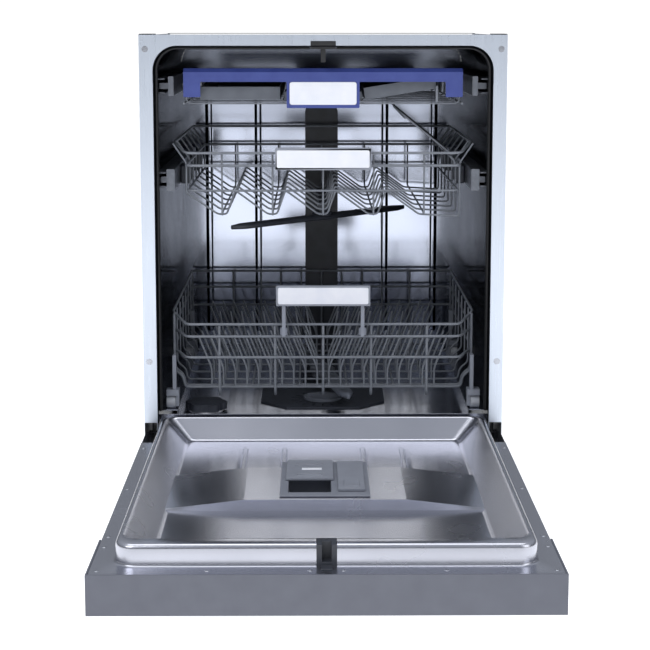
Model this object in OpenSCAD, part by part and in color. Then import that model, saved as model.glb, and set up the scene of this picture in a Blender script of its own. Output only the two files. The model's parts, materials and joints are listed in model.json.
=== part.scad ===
/* [Cabinet] */
// Width of the cabinet across its side panels
cab_w = 598; // [580:1:720]
// Height of the cabinet without its worktop brackets
cab_h = 850; // [815:1:1020]
// Depth of the cabinet behind its front plane
cab_d = 575; // [560:1:690]
// Thickness of the side and rear sheets
sheet_t = 1; // [0.6:0.1:1.5]
// Height of the rear sheet's top edge
rear_sheet_top = 330; // [280:1:420]

/* [Tub] */
// Width of the stainless tub between its walls
tub_w = 550; // [530:1:660]
// Gap from the tub's ceiling to the cabinet top
head_gap = 19; // [15:1:30]
// Thickness of the tub's sheet
tub_t = 1.5; // [1:0.1:2]
// Gap from the tub's back wall to the cabinet back
rear_gap = 15; // [10:1:30]
// Radius of the tub's corners
tub_corner = 38; // [25:1:45]
// Height of the tub floor's upper face
floor_z = 205; // [200:1:208]
// Height of the wheel ledges beside the floor
ledge_z = 221.5; // [219:0.5:223]
// Width of each wheel ledge
ledge_w = 30; // [24:1:34]
// Setback of the tub floor's apron behind the front plane
apron_y = 31; // [31:1:34]

/* [Front trim] */
// Width of each front strip
strip_w = 22; // [16:1:23]
// Height of the strips' lower ends
strip_bottom = 207; // [200:1:230]
// Thickness of the trim's sheet
trim_t = 1.2; // [0.8:0.1:1.5]

/* [Door] */
// Width of the liner and the outer panel
door_w = 594; // [576:1:716]
// Thickness of the door
door_t = 52; // [46:1:56]
// Gap between the closed door and the front plane
door_gap = 3; // [2.6:0.1:3.4]
// Gap between the door's top and the cabinet top
door_top_gap = 4; // [2:1:8]
// Height of the outer panel's lower edge
door_bottom = 120; // [116:1:130]
// Distance of the hinge pins in front of the front plane
hinge_fwd = 30; // [29:0.5:31]
// Height of the hinge pins
hinge_z = 164.5; // [163:0.5:166]
// Radius of the hinge pins
hinge_pin_r = 5; // [4:0.5:6]
// Height of the control fascia
fascia_h = 140; // [120:1:150]
// Height of the liner's rim above its flange
rim_h = 29; // [26:0.5:29]
// Depth of the liner's basin below its flange
basin_sink = 8; // [5:0.5:10]

/* [Racks] */
// Diameter of the thin rack wires
wire_d = 3.2; // [2.5:0.1:4]
// Diameter of the thick rack wires
frame_d = 4.6; // [4:0.1:5.5]
// Height of the lower rack's floor wires
low_floor_z = 252; // [250:1:262]
// Height of the lower rack's sides
low_rack_h = 127; // [110:1:140]
// Distance from the tub's ceiling to the upper rack's top wires
upper_drop = 161; // [150:1:180]
// Height of the upper rack
upper_rack_h = 118; // [105:1:125]
// Distance from the tub's ceiling to the cutlery tray's bar
tray_drop = 36; // [34:1:50]
// Travel of the lower rack
low_travel = 500; // [350:10:520]
// Travel of the upper rack and the cutlery tray
upper_travel = 440; // [300:10:460]

/* [Spray arms] */
// Radius that the lower spray arm reaches
low_arm_r = 230; // [200:1:235]
// Radius that the upper spray arm reaches
upper_arm_r = 222; // [190:1:228]

/* [Hidden] */
$fn = 48;

steel = "#b9bec8";
bright_steel = "#c9ced8";
grey_plastic = "#6b707c";
dark_plastic = "#34373f";
black = "#17181c";
white = "#e6e9f0";
blue = "#4f60a8";
zinc = "#a4a8ae";

gap = 0.5;          // running gap between pieces of different bodies
weld = 0.05;        // gap left where two wires are welded
eps = 0.01;

half_tub = tub_w / 2;
ceiling_z = cab_h - head_gap;
back_y = cab_d - rear_gap;
door_top = cab_h - door_top_gap;
door_reach = door_top - hinge_z + hinge_fwd;
front_y = (door_reach - cab_d) / 2;
bay_front = 33;     // the racks stay behind this plane, clear of the closed door

// Rear duct
duct_w = 64;
duct_t = 20;
duct_top = ceiling_z - 118;
duct_bottom = 212;
duct_front = back_y - duct_t;

// Liner, in the closed door's own place
liner_t = 1.2;
flange_y = -door_gap;
panel_y = flange_y - door_t;
rim_y = flange_y + rim_h;
basin_y = flange_y - basin_sink;
plug_half_w = half_tub - 7;
plug_top = ceiling_z - 16.5;
plug_bottom = hinge_z - 18;
crest_w = 10;
end_crest = 28;
hinge_crest = 6;
wall_run = 34;
basin_floor_h0 = plug_bottom + hinge_crest + 14;
basin_floor_h1 = plug_top - end_crest - 16;
plateau_z0 = hinge_z + 247 - hinge_fwd;
plateau_z1 = hinge_z + 417 - hinge_fwd;
plateau_h = 15.5;
plateau_y = basin_y + plateau_h;
liner_bottom = hinge_z - 27;
liner_top = door_top - 2.5;
fascia_w = door_w + 6;
fascia_z = door_top - fascia_h;

// Dispenser, on the plateau
disp_w = 130;
disp_z0 = plateau_z0 - 22;
disp_h = 180;
disp_flange = 2;
disp_y = plateau_y + 0.3;
cup_x = -57;
cup_w = 70;
cup_z0 = disp_z0 + 65;
cup_h = 97;
lid_slide = 58;

// Lower rack
low_top_z = low_floor_z + low_rack_h;
low_half_w = half_tub - 18;
low_front = bay_front + 4;
low_back = duct_front - 6;
low_deep = low_back - low_front;
low_base_half = half_tub - 41;
wheel_r = 11;
wheel_x0 = half_tub - 25;
wheel_w = 15;
axle_r = 3;
tine_rod_d = 4;
tine_y = low_front + 250;
tine_rows = [for (i = [0, 1, 2, 5, 6]) low_front + 34 + i * (low_deep - 68) / 7];
tine_z = low_floor_z + 1.5 * wire_d + weld + tine_rod_d / 2 + 0.1;
wheel_z = ledge_z + 0.3 + wheel_r;
wheel_y = [low_front + 10, low_back - 62];
snug = (frame_d + wire_d) / 2 + weld;   // centre distance of a thin wire on a thick one

// Upper rack
up_top_z = ceiling_z - upper_drop;
up_floor_z = up_top_z - upper_rack_h;
up_half_w = half_tub - 25;
up_base_half = half_tub - 47;
up_front = bay_front + 2;
up_back = duct_front - 20;
rail_z = up_top_z - 59;
rail_h = 36;
arm_y = (up_front + up_back) / 2 + 6;
up_arm_z = up_floor_z - 37;

// Cutlery tray
tilt = 9;
tilt_x0 = 70;
tilt_rod_r = 2;
insert_w = 120;
insert_t = 2;
bar_h = 22;
tray_z = ceiling_z - tray_drop - bar_h;
tray_half_w = half_tub - 45;
tray_rail_z = tray_z - 7;
tray_rail_h = 32;
tray_back = duct_front - 12;
tray_floor_z = tray_z - 36;
tray_in_y0 = bay_front + 16;
tray_in_y1 = tray_back - 8;
insert_z = tray_floor_z + 1.5 * wire_d + 0.8;

rail_len = duct_front - 12 - bay_front;
hub_y = 290;        // centre of the lower spray arm
filter_y = 200;

module at_origin() {
    translate([0, front_y, 0]) children();
}

module open_door() {
    translate([0, -hinge_fwd, hinge_z]) rotate([90, 0, 0])
        translate([0, hinge_fwd, -hinge_z]) children();
}

module both_sides() {
    children();
    mirror([1, 0, 0]) children();
}

// A block from its lowest corner to its highest one
module block(a, b) {
    translate(a) cube([b.x - a.x, b.y - a.y, b.z - a.z]);
}

// A straight wire, stopped short of its ends so that the next one can start there
module wire(a, b, d = wire_d, short = 0.6) {
    v = b - a;
    h = norm(v);
    s = d * short + weld;
    translate(a) rotate([0, acos(v.z / h), atan2(v.y, v.x)])
        translate([0, 0, s]) cylinder(d = d, h = h - 2 * s);
}

module wire_run(points, d = wire_d) {
    for (i = [0 : len(points) - 2]) wire(points[i], points[i + 1], d);
}

// A rounded rectangle in the plane, centred on X, with its corners true arcs
module round_rect(w, z0, z1, r) {
    translate([-w / 2 + r, z0]) square([w - 2 * r, z1 - z0]);
    translate([-w / 2, z0 + r]) square([w, z1 - z0 - 2 * r]);
    for (x = [-w / 2 + r, w / 2 - r], z = [z0 + r, z1 - r]) translate([x, z]) circle(r);
}

// An arch: straight sides, round upper corners, open below
module arch(w, z0, z1, r) {
    translate([-w / 2, z0]) square([w, z1 - z0 - r]);
    translate([-w / 2 + r, z0]) square([w - 2 * r, z1 - z0]);
    for (x = [-w / 2 + r, w / 2 - r]) translate([x, z1 - r]) circle(r);
}

// Stands a drawing in XZ up and gives it depth from y0 to y1
module stand(y0, y1) {
    translate([0, y1, 0]) rotate([90, 0, 0]) linear_extrude(y1 - y0) children();
}

// ---- tub and cabinet ----

module tub_wrap() {
    color(steel) stand(1, back_y) difference() {
        arch(tub_w + 2 * tub_t, floor_z, ceiling_z + tub_t, tub_corner + tub_t);
        arch(tub_w, floor_z - 1, ceiling_z, tub_corner);
    }
}

module tub_back() {
    rib_z0 = floor_z + 60;
    rib_z1 = ceiling_z - 70;
    color(bright_steel) {
        stand(back_y, back_y + tub_t)
            arch(tub_w + 2 * tub_t, floor_z, ceiling_z + tub_t, tub_corner + tub_t);
        for (x = [-222, -125, 125, 222])
            block([x - 5, back_y - 3, rib_z0], [x + 5, back_y + eps, rib_z1]);
    }
}

module tub_floor() {
    in_w = half_tub - ledge_w;
    wall = 1.5;
    well_r = 88;
    color(bright_steel) difference() {
        union() {
            both_sides() {
                block([in_w, apron_y, ledge_z - wall], [half_tub - 0.05, back_y, ledge_z]);
                block([in_w, apron_y, floor_z - wall], [in_w + wall, back_y, ledge_z]);
            }
            block([-in_w - wall, apron_y, floor_z - wall], [in_w + wall, back_y, floor_z]);
            block([-half_tub, apron_y, hinge_z + 12], [half_tub, apron_y + wall, floor_z + 9]);
        }
        translate([0, filter_y, floor_z - 5]) cylinder(r = well_r, h = 10);
        translate([-202, 100, floor_z - 5]) cylinder(r = 30, h = 10);
        translate([0, hub_y, floor_z - 5]) cylinder(r = 14, h = 10);
    }
}

module front_trim() {
    lip = 20;
    color(bright_steel) difference() {
        union() {
            both_sides() {
                block([cab_w / 2 - strip_w, -trim_t, strip_bottom], [cab_w / 2, 0, cab_h]);
                block([half_tub + tub_t + 0.3, -trim_t, strip_bottom - 14],
                      [half_tub + tub_t + 0.3 + trim_t, lip, ceiling_z - 60]);
            }
            block([-cab_w / 2 + strip_w, -trim_t, ceiling_z + tub_t], [cab_w / 2 - strip_w, 0, cab_h]);
            block([-cab_w / 2 + 1, 0, cab_h - trim_t], [cab_w / 2 - 1, 60, cab_h]);
        }
        bracket_holes();
    }
}

module trim_screw_caps() {
    color(zinc) both_sides()
        for (z = [cab_h - 23, strip_bottom + 104]) translate([cab_w / 2 - 10, -trim_t, z])
            rotate([90, 0, 0]) {
                cylinder(r = 5.2, h = 0.4);
                cylinder(r1 = 4.2, r2 = 3, h = 0.75);
            }
}

bracket_hole_y = 20;
module bracket_holes() {
    both_sides() translate([cab_w / 2 - strip_w / 2, bracket_hole_y, cab_h - 5]) cylinder(r = 2.5, h = 10);
}

module worktop_brackets() {
    bracket_t = 1.5;
    color(black) difference() {
        both_sides() block([cab_w / 2 - strip_w, 4, cab_h], [cab_w / 2, 64, cab_h + bracket_t]);
        bracket_holes();
    }
}

module door_gasket() {
    bulb = 4.6;
    color(black) {
        stand(7, 27) difference() {
            arch(tub_w - 0.2, floor_z + 20, ceiling_z - 0.1, tub_corner);
            arch(tub_w - 2 * bulb, floor_z + 10, ceiling_z - 8, tub_corner - bulb);
            translate([-21, ceiling_z - 12]) square([42, 20]);
        }
    }
}

module latch_strike() {
    tongue_x = 4;
    color(dark_plastic) {
        block([-20.5, -trim_t - 0.7, ceiling_z + tub_t], [20.5, -trim_t, ceiling_z + 9]);
        block([-20.5, 2, ceiling_z - 4], [20.5, 24, ceiling_z]);
    }
    color(zinc) {
        block([-tongue_x, 6, plug_top - 9], [tongue_x, 9, ceiling_z - 4]);
        block([-tongue_x, 6, plug_top - 9], [tongue_x, 20, plug_top - 6]);
        block([-tongue_x, 17, plug_top - 9], [tongue_x, 20, ceiling_z - 4]);
    }
}

module side_panels() {
    bottom = 70;
    color(zinc) both_sides() difference() {
        block([cab_w / 2 - sheet_t, 0.5, bottom], [cab_w / 2, cab_d, cab_h - trim_t]);
        for (y = [120, cab_d - 120]) translate([cab_w / 2 - 5, y, bottom + 18])
            rotate([0, 90, 0]) cylinder(r = 2.5, h = 10);
    }
}

spigot_x = -91;
spigot_z = 104;
cable_hole = [190, 120];

module rear_panel() {
    color(zinc) {
        difference() {
            block([-cab_w / 2 + sheet_t, cab_d - sheet_t, 90],
                  [cab_w / 2 - sheet_t, cab_d, rear_sheet_top]);
            block([-250, cab_d - 5, 96], [-160, cab_d + 5, 150]);
            translate([spigot_x, cab_d - 5, spigot_z]) rotate([-90, 0, 0]) cylinder(r = 17, h = 10);
            translate([cable_hole.x, cab_d - 5, cable_hole.y]) rotate([-90, 0, 0]) cylinder(r = 8, h = 10);
            for (i = [0 : 7]) block([60 + i * 14, cab_d - 5, 190], [65 + i * 14, cab_d + 5, 250]);
        }
        block([-cab_w / 2 + sheet_t, cab_d - 50, cab_h - trim_t], [cab_w / 2 - sheet_t, cab_d, cab_h]);
    }
}

module insulation_blanket() {
    felt = 5;
    inner = tub_w + 2 * tub_t + 0.4;
    color(black) {
        stand(70, back_y) difference() {
            arch(inner + 2 * felt, 270, ceiling_z + tub_t + 0.2 + felt, tub_corner + tub_t + felt);
            arch(inner, 260, ceiling_z + tub_t + 0.2, tub_corner + tub_t + 0.2);
        }
        stand(back_y + tub_t + 0.2, back_y + tub_t + 0.2 + felt)
            arch(inner, 340, ceiling_z - 10, tub_corner);
    }
}

module base_pan() {
    wall = 3;
    pan_z = 14;
    rim = 70;
    half_w = cab_w / 2 - sheet_t - 0.3;
    post = 26;
    color(dark_plastic) {
        difference() {
            block([-half_w, 48, pan_z], [half_w, cab_d - 1.5, rim]);
            block([-half_w + wall, 48 + wall, pan_z + wall], [half_w - wall, cab_d - 1.5 - wall, rim + 1]);
            for (x = [-half_w + 32, half_w - 32], y = [80, cab_d - 45])
                translate([x, y, pan_z - 1]) cylinder(r = 4.3, h = wall + 2);
        }
        both_sides() for (y = [52, cab_d - 6 - post])
            difference() {
                block([half_w - post, y, rim - wall], [half_w, y + post, hinge_z + 10]);
                block([half_w - post + wall, y + wall, rim - wall - 1],
                      [half_w - wall, y + post - wall, hinge_z + 11]);
            }
    }
}

module levelling_feet() {
    half_w = cab_w / 2 - sheet_t - 0.3;
    color(black) for (x = [-half_w + 32, half_w - 32], y = [80, cab_d - 45])
        translate([x, y, 0]) {
            cylinder(r = 19, h = 6);
            translate([0, 0, 5.99]) cylinder(r1 = 19, r2 = 9, h = 5);
            cylinder(r = 4, h = 46);
        }
}

module toe_kick() {
    color(black) difference() {
        block([-cab_w / 2 + 6, 44, 14], [cab_w / 2 - 6, 46, 132]);
        for (i = [-6 : 6]) block([i * 28 - 9, 40, 100], [i * 28 + 9, 50, 103]);
    }
}

module sump() {
    bowl_r = 84;
    color(dark_plastic) {
        difference() {
            union() {
                translate([0, filter_y, 128]) cylinder(r = bowl_r, h = floor_z - 1.6 - 128);
                translate([0, filter_y, 100]) cylinder(r = 44, h = 30);
                translate([0, hub_y, 150]) cylinder(r = 24, h = floor_z - 1.6 - 150);
            }
            translate([0, filter_y, 131]) cylinder(r = bowl_r - 3, h = 100);
            translate([0, filter_y, 104]) cylinder(r = 40, h = 100);
        }
        translate([0, hub_y, floor_z - 3]) cylinder(r = 13.5, h = 19);
    }
}

module wash_pump() {
    color(dark_plastic) translate([70, 330, 112]) rotate([0, 90, 0]) {
        cylinder(r = 46, h = 34);
        translate([0, 0, 33.9]) cylinder(r = 38, h = 86);
        translate([0, 0, 119.8]) cylinder(r = 30, h = 12);
    }
    color(dark_plastic) translate([84, 330, 150]) cylinder(r = 15, h = 40);
}

module drain_pump() {
    color(zinc) translate([-78, 330, 88]) rotate([0, -90, 0]) {
        cylinder(r = 30, h = 26);
        translate([0, 0, 25.9]) cylinder(r = 24, h = 44);
    }
    spigot_len = 34;
    y0 = 355;
    color(dark_plastic) translate([spigot_x, 0, spigot_z]) rotate([-90, 0, 0]) {
        translate([0, 0, y0]) cylinder(r = 9, h = cab_d - 3 - spigot_len - y0);
        translate([0, 0, cab_d - 3 - spigot_len]) cylinder(r = 11, h = spigot_len);
    }
}

module inlet_valve() {
    color(white) {
        block([-232, cab_d - 76, 104], [-186, cab_d - 26, 146]);
        translate([-209, cab_d - 26.1, 123]) rotate([-90, 0, 0]) difference() {
            cylinder(r = 13.2, h = 25.1);
            translate([0, 0, 2]) cylinder(r = 8.5, h = 30);
        }
    }
}

module salt_container() {
    top = floor_z - 1.6;
    color(white) difference() {
        union() {
            block([-half_tub + 26, 54, 96], [-half_tub + 150, 190, top - 22]);
            translate([-202, 100, top - 23]) cylinder(r = 34, h = 23);
            translate([-202, 100, top - 1]) cylinder(r = 29.5, h = 5);
        }
        block([-half_tub + 29, 57, 99], [-half_tub + 147, 187, top - 25]);
        translate([-202, 100, top - 40]) cylinder(r = 25, h = 60);
    }
}

module rear_duct() {
    color(dark_plastic) difference() {
        union() {
            stand(duct_front, back_y - 0.05) arch(duct_w, duct_bottom, duct_top, 18);
            stand(duct_front - 2.5, duct_front + 1) arch(duct_w - 18, duct_bottom + 40, duct_top - 79, 12);
        }
        block([-duct_w / 2 + 3, duct_front + 3, duct_bottom - 1], [duct_w / 2 - 3, back_y - 3, duct_top - 24]);
        translate([0, duct_front - 5, up_floor_z - 13]) rotate([-90, 0, 0]) cylinder(r = 9.5, h = 12);
    }
}

module coarse_filter() {
    half = 109;
    chamfer = 46;
    t = 3;
    color(dark_plastic) translate([0, filter_y, floor_z + 0.05]) difference() {
        linear_extrude(t) polygon([
            [-half + chamfer, -94], [half - chamfer, -94], [half, -94 + chamfer], [half, 60],
            [half - 62, 72], [-half + 62, 72], [-half, 60], [-half, -94 + chamfer]]);
        translate([0, -32, -1]) cylinder(r = 29.56, h = t + 2);
        for (a = [20 : 20 : 340]) translate([0, -32, 0]) rotate(a)
            block([-1.2, 40, -1], [1.2, 56, t + 1]);
    }
}

module hinge_brackets() {
    plate_x = cab_w / 2 - 13;
    plate_t = 3;
    color(black) both_sides() {
        block([plate_x, 33, 134], [plate_x + plate_t, 50, 262]);
        block([plate_x, 49, hinge_z + 12], [plate_x + plate_t, 110, 262]);
        difference() {
            union() {
                block([plate_x, -hinge_fwd, hinge_z - 13], [plate_x + plate_t, 34, hinge_z + 13]);
                translate([plate_x, -hinge_fwd, hinge_z]) rotate([0, 90, 0])
                    cylinder(r = 13, h = plate_t);
            }
            translate([plate_x - 1, 5, hinge_z + 9]) rotate([0, 90, 0]) cylinder(r = 1.6, h = 5);
        }
        translate([plate_x - 9, -hinge_fwd, hinge_z]) rotate([0, 90, 0])
            cylinder(r = hinge_pin_r, h = 9 + eps);
    }
}

// One side's fixed channel for a telescopic rail at height z
module guide(z, depth) {
    x1 = half_tub - 0.05;
    x0 = half_tub - depth;
    y0 = bay_front + 6;
    y1 = y0 + rail_len - 8;
    block([x1 - 3, y0, z - 13], [x1, y1, z + 13]);
    block([x0, y0, z + 10], [x1, y1, z + 13]);
    block([x0, y0, z - 13], [x1, y1, z - 10]);
}

module rail_guides() {
    color(zinc) both_sides() {
        guide(rail_z, 14);
        guide(tray_rail_z, 14);
    }
}

// ---- parts of the tub that turn ----

module filter_cup() {
    cy = filter_y - 32;
    color(grey_plastic) translate([0, cy, 0]) {
        difference() {
            translate([0, 0, 140]) cylinder(r = 29.5, h = floor_z + 9 - 140);
            translate([0, 0, 143]) cylinder(r = 27, h = 100);
        }
        block([-27.5, -3, floor_z - 4], [27.5, 3, floor_z + 13]);
        difference() {
            translate([0, 0, floor_z + 4]) cylinder(r = 34, h = 4);
            translate([0, 0, floor_z]) cylinder(r = 28, h = 12);
        }
    }
}

module salt_cap() {
    color(dark_plastic) translate([-202, 100, floor_z + 2.6]) {
        translate([0, 0, -10]) cylinder(r = 24.94, h = 11);
        cylinder(r = 31, h = 12.5);
        for (a = [0 : 60 : 300]) rotate(a) translate([24, 0, 0]) cylinder(r = 12, h = 12.5);
        translate([0, 0, 12.4]) cylinder(r1 = 31, r2 = 26, h = 1.6);
    }
}

// A two-ended spray arm along X, centred on its hub
module arm(reach, width, thick) {
    difference() {
        union() {
            linear_extrude(thick) polygon([
                [-reach + 16, -width * 0.40], [-40, -width / 2], [40, -width / 2], [reach - 16, -width * 0.40],
                [reach - 16, width * 0.40], [40, width / 2], [-40, width / 2], [-reach + 16, width * 0.40]]);
            for (s = [-1, 1]) translate([s * (reach - 16), 0, 0]) cylinder(r = width * 0.40, h = thick);
            cylinder(r = width * 0.72, h = thick);
        }
        for (s = [-1, 1], i = [1 : 4]) translate([s * (reach - 12 - i * 38), s * 5, thick - 2])
            cylinder(r = 2.2, h = 5);
    }
}

module lower_spray_arm() {
    color(grey_plastic) translate([0, hub_y, floor_z + 25]) rotate(-79) difference() {
        union() {
            arm(low_arm_r, 34, 11);
            translate([0, 0, -7]) cylinder(r = 19, h = 8);
        }
        translate([0, 0, -8]) cylinder(r = 13.56, h = 12);
    }
}

// ---- door, drawn closed and turned open ----

module door_outer_panel() {
    t = 0.8;
    top = fascia_z - 0.5;
    half = door_w / 2;
    color(bright_steel) open_door() difference() {
        block([-half, panel_y, door_bottom], [half, flange_y - liner_t - 0.1, top]);
        block([-half + t, panel_y + t, door_bottom + t], [half - t, 10, top + 1]);
        block([-half - 1, -hinge_fwd, door_bottom - 1], [half + 1, 10, liner_bottom + 1]);
        both_sides() block([cab_w / 2 - 15, -hinge_fwd - 15, door_bottom - 1],
                           [cab_w / 2 - 8, 10, door_bottom + 3]);
    }
}

// The basin's inner space, grown by g, as two crossed trapezoids
module basin_space(g) {
    z0 = plug_bottom + hinge_crest;
    z1 = plug_top - end_crest;
    x1 = plug_half_w - crest_w;
    y1 = rim_y + 0.5;
    intersection() {
        translate([0, 0, z0 - 40]) linear_extrude(z1 - z0 + 80) polygon([
            [-x1 - g, y1], [-x1 + wall_run - g, basin_y - g],
            [x1 - wall_run + g, basin_y - g], [x1 + g, y1]]);
        rotate([90, 0, 90]) translate([0, 0, -x1 - 50]) linear_extrude(2 * x1 + 100) polygon([
            [y1, z0 - g], [basin_y - g, basin_floor_h0 - g],
            [basin_y - g, basin_floor_h1 + g], [y1, z1 + g]]);
    }
}

module plug_outer(g, y0, y1) {
    stand(y0, y1) round_rect(2 * plug_half_w - 2 * g, plug_bottom + g, plug_top - g, 25 - g);
}

module plateau_block(g, y0) {
    x1 = plug_half_w - crest_w - wall_run + 2;
    flat = 115;
    drop = 9;
    translate([0, 0, plateau_z0 + g]) linear_extrude(plateau_z1 - plateau_z0 - 2 * g) polygon([
        [-x1, y0], [-x1, plateau_y - drop - g], [-flat, plateau_y - g],
        [flat, plateau_y - g], [x1, plateau_y - drop - g], [x1, y0]]);
}

module door_liner() {
    t = liner_t;
    half = door_w / 2;
    notch_x = half - 30;
    color(steel) open_door() difference() {
        union() {
            difference() {
                union() {
                    block([-half, flange_y - t, liner_bottom], [half, flange_y, liner_top]);
                    plug_outer(0, flange_y - t, rim_y);
                }
                plug_outer(t, flange_y - t - 1, rim_y - t);
                basin_space(0);
            }
            difference() {
                intersection() {
                    basin_space(t);
                    block([-half, basin_y - t, plug_bottom], [half, rim_y, plug_top]);
                }
                difference() {
                    basin_space(0);
                    difference() {
                        plateau_block(0, basin_y - 5);
                        plateau_block(t, basin_y - 6);
                    }
                }
                plateau_block(t, basin_y - 6);
            }
        }
        block([-disp_w / 2 + 4, basin_y - 10, disp_z0 + 4], [disp_w / 2 - 4, 20, disp_z0 + disp_h - 4]);
        block([-13, flange_y - 5, plug_top - end_crest + 4], [13, rim_y + 1, plug_top + 1]);
        both_sides() block([notch_x, flange_y - 5, liner_bottom - 1], [half + 1, 1, hinge_z + 42]);
    }
}

module control_fascia() {
    t = 2.6;
    half = fascia_w / 2;
    grip_w = 190;
    grip_z0 = door_top - 46;
    color(grey_plastic) open_door() difference() {
        union() {
            difference() {
                block([-half, panel_y - 0.6, fascia_z], [half, flange_y + 0.4, door_top]);
                block([-half + t, panel_y + 2, fascia_z - 1], [half - t, flange_y + 2, door_top - t + 0.2]);
            }
            block([-grip_w / 2 - 2, panel_y, grip_z0 - 2], [grip_w / 2 + 2, panel_y + 26, door_top - 14]);
        }
        block([-grip_w / 2, panel_y - 2, grip_z0], [grip_w / 2, panel_y + 24, grip_z0 + 30]);
        block([60, panel_y - 2, fascia_z + 28], [160, panel_y + 5, fascia_z + 58]);
        for (x = button_x) translate([x, panel_y - 2, button_z]) rotate([-90, 0, 0])
            cylinder(r = button_r + 0.5, h = 8);
    }
}

button_r = 8;
button_x = [-220, -60, 220];
button_z = fascia_z + 43;

module display_window() {
    color(black) open_door()
        block([60.1, panel_y - 0.5, fascia_z + 28.1], [159.9, panel_y + 1.9, fascia_z + 57.9]);
}

module door_button(x) {
    open_door() translate([x, panel_y - 2.1, button_z]) rotate([-90, 0, 0]) {
        cylinder(r = button_r, h = 6);
        translate([0, 0, 6 - eps]) cylinder(r = 3, h = 6);
    }
}

module power_button() { color(grey_plastic) door_button(button_x[0]); }
module programme_button() { color(grey_plastic) door_button(button_x[1]); }
module start_button() { color(grey_plastic) door_button(button_x[2]); }

module door_latch() {
    z0 = plug_top - end_crest + 4.2;
    color(dark_plastic) open_door() difference() {
        union() {
            block([-12.8, flange_y - 26, z0], [12.8, rim_y - 0.5, plug_top + 0.5]);
            block([-7, flange_y + 0.05, plug_top - 1], [7, flange_y + 1.5, ceiling_z - 0.5]);
        }
        block([-6, 2.5, plug_top - 14], [6, rim_y + 1, plug_top + 2]);
    }
}

module dispenser_body() {
    w = disp_w / 2;
    z1 = disp_z0 + disp_h;
    color(grey_plastic) open_door() difference() {
        union() {
            block([-w, disp_y, disp_z0], [w, disp_y + disp_flange, z1]);
            block([-w + 5, disp_y - 30, disp_z0 + 5], [w - 5, disp_y + 1, z1 - 5]);
        }
        block([cup_x + 4, disp_y - 27, cup_z0], [cup_x + cup_w - 4, disp_y + 9, cup_z0 + cup_h]);
        block([26, disp_y - 20, cup_z0], [52, disp_y + 9, cup_z0 + 60]);
    }
}

module hinge_arms() {
    x0 = cab_w / 2 - 18.5;
    arm_t = 4;
    color(zinc) open_door() both_sides() difference() {
        union() {
            block([x0, -hinge_fwd - 10, hinge_z], [x0 + arm_t, -hinge_fwd + 16, hinge_z + 150]);
            translate([x0, -hinge_fwd, hinge_z]) rotate([0, 90, 0]) cylinder(r = 14, h = arm_t);
        }
        translate([x0 - 1, -hinge_fwd, hinge_z]) rotate([0, 90, 0])
            cylinder(r = hinge_pin_r + 0.06, h = arm_t + 2);
    }
}

module liner_screws() {
    rows = [78, 307, 529, 572];
    top_z = liner_top - 14;
    head = 3.4;
    color(zinc) open_door() {
        both_sides() {
            for (z = rows) screw([door_w / 2 - 7, flange_y, hinge_z + z], head);
            for (x = [door_w / 2 - 9, 150, 21]) screw([x, flange_y, top_z], head);
        }
    }
}

module screw(p, r) {
    translate(p) rotate([-90, 0, 0]) cylinder(r1 = r, r2 = r * 0.7, h = 0.8);
}

module detergent_lid() {
    y0 = disp_y + disp_flange + gap;
    z0 = cup_z0 - lid_slide - 1;
    color(grey_plastic) open_door() {
        block([cup_x, y0, z0], [cup_x + cup_w, y0 + 4, z0 + cup_h + 2]);
        block([cup_x + 16, y0 + 3.9, z0 + 78], [cup_x + cup_w - 16, y0 + 6, z0 + 84]);
    }
}

module rinse_aid_lid() {
    y0 = disp_y + disp_flange + gap;
    color(grey_plastic) open_door() {
        block([19, y0, disp_z0 + 12], [58, y0 + 4, disp_z0 + 160]);
        translate([19, y0 + 2, disp_z0 + 12]) rotate([0, 90, 0]) cylinder(r = 2, h = 39);
        block([28, y0 + 3.9, disp_z0 + 116], [50, y0 + 6, disp_z0 + 150]);
    }
}

// ---- lower rack ----

module lower_basket() {
    w = low_half_w;
    b = low_base_half;
    f = low_front;
    k = low_back;
    z = low_floor_z;
    step_z = z + 24;
    rows = 7;
    over = z + wire_d + weld;
    color(grey_plastic) {
        // rims that run round the basket
        for (level = [low_top_z, low_top_z - 33, low_top_z - 69]) {
            both_sides() wire([w, f, level], [w, k, level], frame_d);
            wire([-w, k, level], [w, k, level], frame_d);
        }
        for (level = [low_top_z - 13, low_top_z - 33, low_top_z - 69])
            wire([-w, f, level], [w, f, level], frame_d);
        // cross wires, each down one side, over the floor and up the other
        for (i = [0 : rows]) {
            y = f + 34 + i * (low_deep - 68) / rows;
            wire([-b, y, z], [b, y, z]);
            both_sides() {
                wire([b, y, z], [w - snug, y, step_z], short = 0.9);
                wire([w - snug, y, step_z], [w - snug, y, low_top_z]);
            }
        }
        // floor wires from front to back, with the front and back uprights
        for (x = [-175, -81, 0, 81, 175]) {
            wire([x, f + 7, over], [x, k - 7, over]);
            wire([x, f + snug, z - 11], [x, f + snug, low_top_z - 10]);
            wire([x, k - snug, z], [x, k - snug, low_top_z + 3]);
        }
        for (x = [-120, -40, 40, 120]) wire([x, f + 14, over], [x, k - 14, over]);
        // fixed tines, each leaning outwards
        for (y = tine_rows, i = [0 : 9]) both_sides()
            wire([10 + i * 20, y + wire_d + weld, z + 3], [31 + i * 20, y + wire_d + weld, z + 86], short = 0);
        // eyes for the rod of the folding tines
        both_sides() difference() {
            block([171, tine_y - 5, tine_z - tine_rod_d / 2 - 0.05], [177, tine_y + 5, tine_z + 5]);
            translate([170, tine_y, tine_z]) rotate([0, 90, 0]) cylinder(r = tine_rod_d / 2 + 0.06, h = 8);
        }
    }
}

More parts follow.
